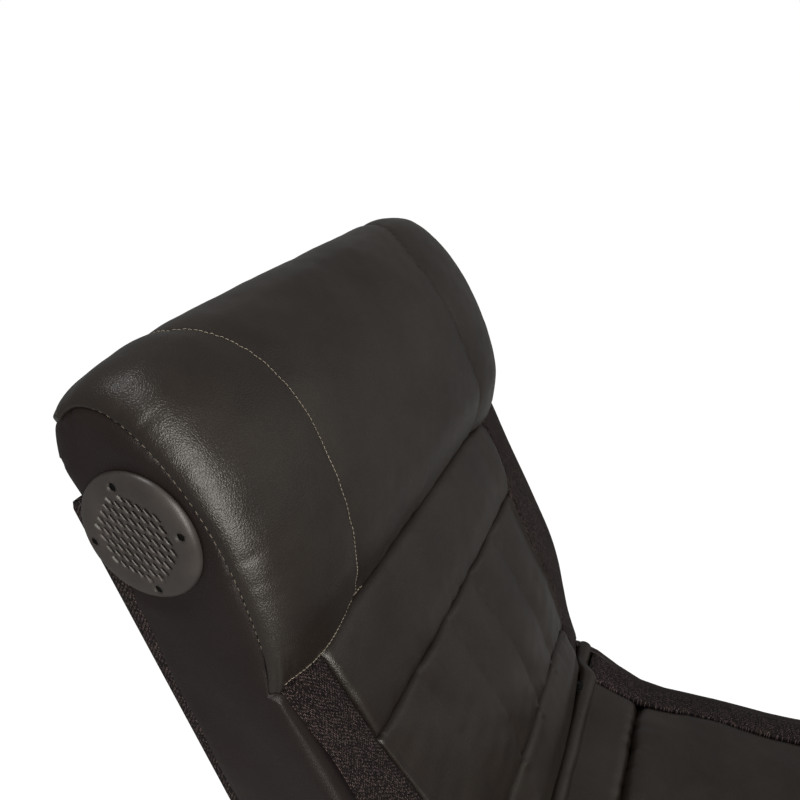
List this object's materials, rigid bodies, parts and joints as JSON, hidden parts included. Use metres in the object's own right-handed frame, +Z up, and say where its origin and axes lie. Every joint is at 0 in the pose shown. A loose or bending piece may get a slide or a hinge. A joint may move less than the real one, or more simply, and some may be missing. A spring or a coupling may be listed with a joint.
{
  "type": "gaming rocker chair",
  "caption": "Armless floor rocker chair: padded vinyl back with headrest loudspeakers and mesh edges folds forward over a padded seat on curved rocker runners.",
  "frame": {"origin": "on the floor, under the middle of the chair's box", "axes": "+Z up; -Y is where the sitter faces; +X is the sitter's left"},
  "size_m": [0.4722, 0.7537, 0.7],
  "materials": {
    "vinyl_cushion": "grained vinyl over foam; fabric gives the foam-filled solid its mass",
    "vinyl_panel": "grained vinyl over a padded board",
    "mesh_cloth": "woven black-brown mesh",
    "frame_steel": "black powder coat, satin",
    "rivet_steel": "zinc plated",
    "plywood": "raw plywood",
    "hardboard": "dark hardboard",
    "runner_rubber": "ribbed black rubber",
    "grille_plastic": "moulded, fine texture",
    "cone_paper": "pressed black paper",
    "black_plastic": "moulded, satin",
    "circuit_green": "solder mask",
    "led_lens": "clear red"
  },
  "bodies": {
    "seat": {"seat_rear_roll": "vinyl_cushion", "seat_cushion": "vinyl_cushion", "seat_side_panel_right": "vinyl_panel", "seat_side_panel_left": "vinyl_panel", "seat_mesh_strip_right": "mesh_cloth", "seat_mesh_strip_left": "mesh_cloth", "seat_rear_panel": "mesh_cloth", "seat_frame_tube": "frame_steel", "seat_hinge_leaf_right": "frame_steel", "seat_hinge_leaf_left": "frame_steel", "hinge_pin_right": "rivet_steel", "hinge_pin_left": "rivet_steel", "audio_in_jack": "rivet_steel", "headphone_jack": "rivet_steel", "seat_deck": "plywood", "seat_front_board": "plywood", "seat_end_board": "plywood", "rocker_rib_right": "plywood", "rocker_rib_left": "plywood", "underside_panel": "hardboard", "rocker_runner_right": "runner_rubber", "rocker_runner_left": "runner_rubber", "control_plate": "black_plastic", "amplifier_box": "black_plastic", "dc_inlet": "black_plastic", "circuit_board": "circuit_green", "power_led": "led_lens"},
    "back": {"back_frame_tube": "frame_steel", "back_board": "plywood", "back_end_board": "plywood", "back_rear_panel": "mesh_cloth", "headrest_cushion": "vinyl_cushion", "back_upper_pad": "vinyl_cushion", "back_channel_cushion": "vinyl_cushion", "back_lower_roll": "vinyl_cushion", "back_side_panel_right": "vinyl_panel", "back_side_panel_left": "vinyl_panel", "back_mesh_strip_right": "mesh_cloth", "back_mesh_strip_left": "mesh_cloth", "back_hinge_leaf_right": "frame_steel", "back_hinge_leaf_left": "frame_steel", "speaker_basket_right": "frame_steel", "speaker_basket_left": "frame_steel", "speaker_magnet_right": "frame_steel", "speaker_magnet_left": "frame_steel", "speaker_grille_right": "grille_plastic", "speaker_grille_left": "grille_plastic", "grille_screw_1_right": "black_plastic", "grille_screw_1_left": "black_plastic", "grille_screw_2_right": "black_plastic", "grille_screw_2_left": "black_plastic", "grille_screw_3_right": "black_plastic", "grille_screw_3_left": "black_plastic", "grille_screw_4_right": "black_plastic", "grille_screw_4_left": "black_plastic"},
    "volume_knob": {"volume_knob": "black_plastic"},
    "bass_knob": {"bass_knob": "black_plastic"},
    "power_button": {"power_button": "grille_plastic"},
    "speaker_cone_right": {"speaker_cone_right": "cone_paper"},
    "speaker_cone_left": {"speaker_cone_left": "cone_paper"}
  },
  "joints": [
    {"name": "back_fold", "type": "hinge", "parent": "seat", "child": "back", "pos_m": [0, 0.082, 0.221], "axis": [1, 0, 0], "range_deg": [0, 105]},
    {"name": "volume_turn", "type": "hinge", "parent": "seat", "child": "volume_knob", "pos_m": [-0.23, -0.13594, 0.1122], "axis": [-1, 0, 0], "range_deg": [-150, 150]},
    {"name": "bass_turn", "type": "hinge", "parent": "seat", "child": "bass_knob", "pos_m": [-0.23, -0.10399, 0.1122], "axis": [-1, 0, 0], "range_deg": [-150, 150]},
    {"name": "power_press", "type": "slide", "parent": "seat", "child": "power_button", "axis": [1, 0, 0], "range_m": [0, 0.0015], "stiffness_N_per_m": 600, "springref_m": -0.001},
    {"name": "cone_right_travel", "type": "slide", "parent": "back", "child": "speaker_cone_right", "axis": [1, 0, 0], "range_m": [-0.0012, 0.0012], "stiffness_N_per_m": 500},
    {"name": "cone_left_travel", "type": "slide", "parent": "back", "child": "speaker_cone_left", "axis": [1, 0, 0], "range_m": [-0.0012, 0.0012], "stiffness_N_per_m": 500}
  ]
}
